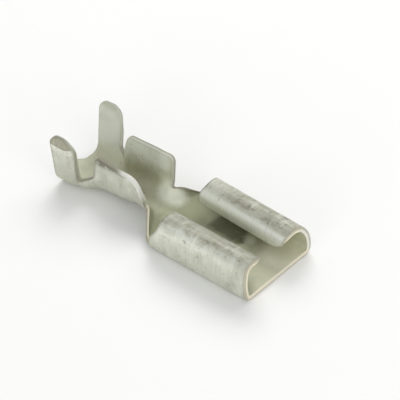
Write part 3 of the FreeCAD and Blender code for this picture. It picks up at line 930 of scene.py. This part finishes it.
paint(both(ramp(tree, patches, 0.46, 0.36), outer_mask), 0.30, BRIGHT_TIN_AND_HIGHLIGHT)
# Painted highlight: a light stripe along the near roll, fading towards the rear.
roll_highlight_reach = both(ramp(tree, along_part, *ROLL_REAR), ramp(tree, dabs, 0.62, 0.40))
paint(both(strip(distance, *NEAR_ROLL), outer_mask, roll_highlight_reach), 0.8, BRIGHT_TIN_AND_HIGHLIGHT)
# Painted light: the far flank is lightened, and a white painted highlight runs along it towards the front.
flank = both(ramp(tree, distance, *FLANK_FROM), on_curls, outer_mask)
paint(flank, 0.95, BRIGHT_TIN_AND_HIGHLIGHT)
dab(FAR_REAR, outer_mask)
paint(both(flank, strip(distance, *FLANK_SHINE), ramp(tree, along_part, *SHINE_FADES)), 0.7, WHITE_HIGHLIGHT)
print("nodes with the marks on the curls", len(tree.nodes))

# %% Marks on the wings with painted shade and a painted sheen, and nicks and streaks all over
NEAR_TIP_FACET_SHADE = (-6.0, -4.50, 0.05)
NEAR_TIP_CREASE_SHADE = (-4.62, -4.52, 0.04)
NEAR_WING_SHADE = (-3.0, -0.8, 0.4)
WING_FOOT = ((-1.8, -0.2, 0.5), (9.0, 12.2, 0.4))
INSIDE_NICKS = (8.9, 12.0, 0.2)
WING_TOP = ((9.5, 12.2, 0.3), (-2.75, -3.10))
WING_SHEEN = ((-2.0, 10.6), (0.9, 1.5), 1.2, 0.10, BRIGHT_TIN_AND_HIGHLIGHT)
outer_tip = both(on_insulation, outer_mask)
# Painted shade: the coined facet at the near insulation wing's tip and the crease along its border are
# darkened.
paint(both(strip(distance, *NEAR_TIP_FACET_SHADE), outer_tip), 0.74, RUB_AND_SHADE)
paint(both(strip(distance, *NEAR_TIP_CREASE_SHADE), outer_tip), 0.45, GRIME_AND_SHADE)
# Painted shade: the outer faces of the near wings are darker towards their foot.
paint(both(strip(distance, *NEAR_WING_SHADE), outer_tip), 0.60, CLOUD_TIN_AND_SHADE)
wing_foot = both(strip(distance, *WING_FOOT[0]), outer_mask, strip(along_part, *WING_FOOT[1]))
paint(wing_foot, 0.55, CLOUD_TIN_AND_SHADE)
paint(outer_tip, 0.14, RUB_AND_SHADE)
nicks = ramp(tree, scuffs, 0.65, 0.71)
paint(both(nicks, outer_mask), 0.42, GRIME_AND_SHADE)
paint(both(nicks, inner_mask, strip(along_part, *INSIDE_NICKS)), 0.35, GRIME_AND_SHADE)
paint(both(ramp(tree, streaks, 0.52, 0.66), outer_mask), 0.22, RUB_AND_SHADE)
paint(both(ramp(tree, streaks, 0.46, 0.34), outer_mask), 0.25, BRIGHT_TIN_AND_HIGHLIGHT)
near_top = both(strip(along_part, *WING_TOP[0]), ramp(tree, distance, *WING_TOP[1]))
paint(both(near_top, ramp(tree, dabs, 0.42, 0.58)), 0.8, GRIME_AND_SHADE)
dab(WING_SHEEN, outer_mask)
print("nodes with the marks outside", len(tree.nodes))

# %% [markdown]
# ## Punched edges
# The strip is plated before it is punched, so the cut shows bare metal. Half of
# its depth is sheared smooth and the other half tears away, which is duller and
# darker. A thin dark line of painted shade lies on the faces beside it, where the
# rounded edge mirrors darker surroundings. The edge is a mask that the mesh
# carries, since the cut has no width of its own on the blank.

# %% Painted shade: a thin dark line beside the punched edges
LIP_SPAN = (-2.4, 2.7, 0.15)
FAR_BULGE = (2.7, 4.9, 0.2)
NEAR_SLOPE = (8.7, 10.4, 0.3)
WINGS_SPARED_SHARE = 0.75
EDGE_SHADE_REACH = (0.16, 0.04)
lip = both(mouth, strip(distance, *LIP_SPAN))
far_bulge = both(mouth, strip(distance, *FAR_BULGE))
near_slope = both(near_side, strip(along_part, *NEAR_SLOPE))
spared_from_edge_shade = lip
for other in (far_bulge, near_slope, both(inner_mask, on_wings, WINGS_SPARED_SHARE)):
    spared_from_edge_shade = sums(tree, "MAXIMUM", spared_from_edge_shade, other)
# Painted shade: a thin dark line on the faces beside the punched edges.
edge_shade_line = both(ramp(tree, from_edge, *EDGE_SHADE_REACH), ramp(tree, dabs, 0.25, 0.50), without(spared_from_edge_shade))
paint(edge_shade_line, 0.42, GRIME_AND_SHADE)
print("nodes with the painted_edge_shade", len(tree.nodes))

# %% Punched edges
ON_THE_EDGE = (0.3, 0.9)
TORN_UNTIL = (0.60, 0.35)
NEAR_FRONT = (8.7, 8.4)
FAR_LEDGE = (6.2, 8.55, 0.05)
SLOT_BOTTOM = ((12.05, 13.25, 0.1), (-2.3, 2.3, 0.2))
NEAR_CUT_GRIME = (10.5, 12.2, 0.4)
punched = ramp(tree, edge_share, *ON_THE_EDGE)
torn_half = ramp(tree, inner_share, *TORN_UNTIL)
slot_bottom = both(strip(along_part, *SLOT_BOTTOM[0]), strip(distance, *SLOT_BOTTOM[1]))
paint(punched, 1.0, GREY_EDGE)
paint(both(punched, near_slope), 1.0, PALE_EDGE)
paint(both(punched, near_side, ramp(tree, along_part, *NEAR_FRONT)), 1.0, CREAM)
paint(both(punched, mouth), 1.0, CREAM)
paint(both(punched, far_bulge), 0.8, PALE_EDGE)
paint(both(punched, far_side, strip(along_part, *FAR_LEDGE)), 0.8, TAN)
paint(both(punched, slot_bottom), 0.6, TAN)
paint(both(punched, torn_half, without(near_slope)), 0.58, TAN)
paint(both(punched, near_side, strip(along_part, *NEAR_CUT_GRIME)), 0.60, GRIME_AND_SHADE)
paint(both(punched, lip), 0.55, LIP)
print("nodes with the punched edges", len(tree.nodes))

# %% Gloss and relief
METAL_SHARE = 0.55
ROUGHNESS = 0.38
ROUGHER_IN_CLOUDS = 0.20
ROUGHER_INSIDE = 0.10
ROUGHER_IN_THE_NECK = 0.12
HOOP_RELIEF = 0.6
FINE_RELIEF = 0.5
LENGTHWISE_RELIEF = 0.3
RELIEF_STRENGTH = 0.35
RELIEF_DEPTH = 0.02 * MM
feed(tree, surface.inputs["Base Color"], finish_colour)
surface.inputs["Metallic"].default_value = METAL_SHARE
rough = sums(tree, "MULTIPLY_ADD", cloud, ROUGHER_IN_CLOUDS, ROUGHNESS)
rough = sums(tree, "MULTIPLY_ADD", inner_mask, ROUGHER_INSIDE, rough)
rough = sums(tree, "MULTIPLY_ADD", neck, ROUGHER_IN_THE_NECK, rough)
feed(tree, surface.inputs["Roughness"], rough)

relief = sums(tree, "MULTIPLY_ADD", hoop, HOOP_RELIEF, sums(tree, "MULTIPLY", fine, FINE_RELIEF))
relief = sums(tree, "MULTIPLY_ADD", lengthwise, LENGTHWISE_RELIEF, relief)
bump = put(tree, "ShaderNodeBump")
bump.inputs["Strength"].default_value = RELIEF_STRENGTH
bump.inputs["Distance"].default_value = RELIEF_DEPTH
feed(tree, bump.inputs["Height"], relief)
feed(tree, surface.inputs["Normal"], bump.outputs["Normal"])
mesh.materials.append(metal)
print("finish nodes", len(tree.nodes))

# %% [markdown]
# ## Floor and light
# The part lies on a plain pale floor in soft daylight. Metal shows what stands
# round it, so the sky is brighter overhead than near the horizon, and the floor
# gives the walls their light from below. The floor can be seen through from
# underneath. The window stands behind the part, opposite the camera, and throws
# the shadow forwards. It is hidden from mirror reflections, because it would
# flash in the tops of the curls, and a weaker side window on the right gives
# them a calm gleam instead. The room and the doorway lighten the shaded walls.

# %% Floor
floor_mesh = bpy.data.meshes.new("floor")
SPREAD = 0.5
FLOOR_GAP = 0.00002
FLOOR_COLOUR = (0.915, 0.915, 0.905, 1.0)
ends = [(-SPREAD, -SPREAD, 0.0), (SPREAD, -SPREAD, 0.0), (SPREAD, SPREAD, 0.0), (-SPREAD, SPREAD, 0.0)]
floor_mesh.from_pydata(ends, [], [(0, 1, 2, 3)])
floor = bpy.data.objects.new("floor", floor_mesh)
floor.location.z = -FLOOR_GAP
bpy.context.scene.collection.objects.link(floor)
pale = bpy.data.materials.new("pale_floor")
pale.use_nodes = True
pale_surface = pale.node_tree.nodes["Principled BSDF"]
pale_surface.inputs["Base Color"].default_value = FLOOR_COLOUR
pale_surface.inputs["Roughness"].default_value = 0.9
pale_surface.inputs["Specular IOR Level"].default_value = 0.1
floor_mesh.materials.append(pale)
pale_tree = pale.node_tree
one_sided = put(pale_tree, "ShaderNodeMixShader")
feed(pale_tree, one_sided.inputs[0], put(pale_tree, "ShaderNodeNewGeometry").outputs["Backfacing"])
pale_tree.links.new(pale_surface.outputs[0], one_sided.inputs[1])
pale_tree.links.new(put(pale_tree, "ShaderNodeBsdfTransparent").outputs[0], one_sided.inputs[2])
pale_tree.links.new(one_sided.outputs[0], pale_tree.nodes["Material Output"].inputs["Surface"])
print("floor", floor.dimensions[0], "m wide")

# %% Sky
HORIZON = (0.62, 0.63, 0.64, 1.0)
OVERHEAD = (0.92, 0.93, 0.94, 1.0)
SKY_STRENGTH = 0.62
world = bpy.data.worlds.new("soft_daylight")
world.use_nodes = True
bpy.context.scene.world = world
sky = world.node_tree
sky.nodes.clear()
direction = put(sky, "ShaderNodeSeparateXYZ")
feed(sky, direction.inputs[0], put(sky, "ShaderNodeTexCoord").outputs["Generated"])
upward = ramp(sky, direction.outputs["Z"], -0.1, 0.9)
light = blend(sky, upward, HORIZON, OVERHEAD)
glow = put(sky, "ShaderNodeBackground")
feed(sky, glow.inputs["Color"], light)
glow.inputs["Strength"].default_value = SKY_STRENGTH
sky_out = put(sky, "ShaderNodeOutputWorld")
sky.links.new(glow.outputs[0], sky_out.inputs["Surface"])
print("sky strength", SKY_STRENGTH)


# %% Lamps
def lamp(name, spot, target, size, power, colour):
    data = bpy.data.lights.new(name, "AREA")
    data.shape = "DISK"
    data.size = size
    data.energy = power
    data.color = colour
    item = bpy.data.objects.new(name, data)
    item.location = spot
    item.rotation_euler = (Vector(target) - Vector(spot)).to_track_quat("-Z", "Y").to_euler()
    bpy.context.scene.collection.objects.link(item)
    return item


WARM = (1.0, 0.99, 0.97)
COOL = (0.98, 0.99, 1.0)
MIDDLE = (0.0, 0.007, 0.0)
window = lamp("window", (0.15, 0.13, 0.20), MIDDLE, 0.18, 0.32, WARM)
window.visible_glossy = False
lamp("side_window", (0.20, 0.02, 0.20), MIDDLE, 0.22, 0.16, WARM)
lamp("room", (-0.20, -0.04, 0.05), (0.0, 0.007, 0.001), 0.14, 0.115, COOL)
lamp("doorway", (-0.05, -0.19, 0.07), (0.0, 0.0, 0.001), 0.14, 0.14, WARM)

# %% [markdown]
# ## Camera
# A long lens stands 16 cm away, in front of the mouth, to its left and above it.
# From there both curls, the floor between them and the wings are all in view,
# with little perspective.

# %% Camera
LENS = 269.207
SENSOR = 36.0
NEAR_CLIP = 0.005
CAMERA_PLACE = (-0.0910495, -0.0782890, 0.1113387)
CAMERA_TURN = (48.679225, 1.510406, -48.691979)
camera_data = bpy.data.cameras.new("camera")
camera_data.lens = LENS
camera_data.sensor_width = SENSOR
camera_data.clip_start = NEAR_CLIP
camera = bpy.data.objects.new("camera", camera_data)
camera.location = CAMERA_PLACE
camera.rotation_euler = [math.radians(angle) for angle in CAMERA_TURN]
bpy.context.scene.collection.objects.link(camera)
bpy.context.scene.camera = camera
bpy.context.scene.view_settings.view_transform = "Standard"
print("camera", round(camera.location.length / MM), "mm from the mouth of the terminal")
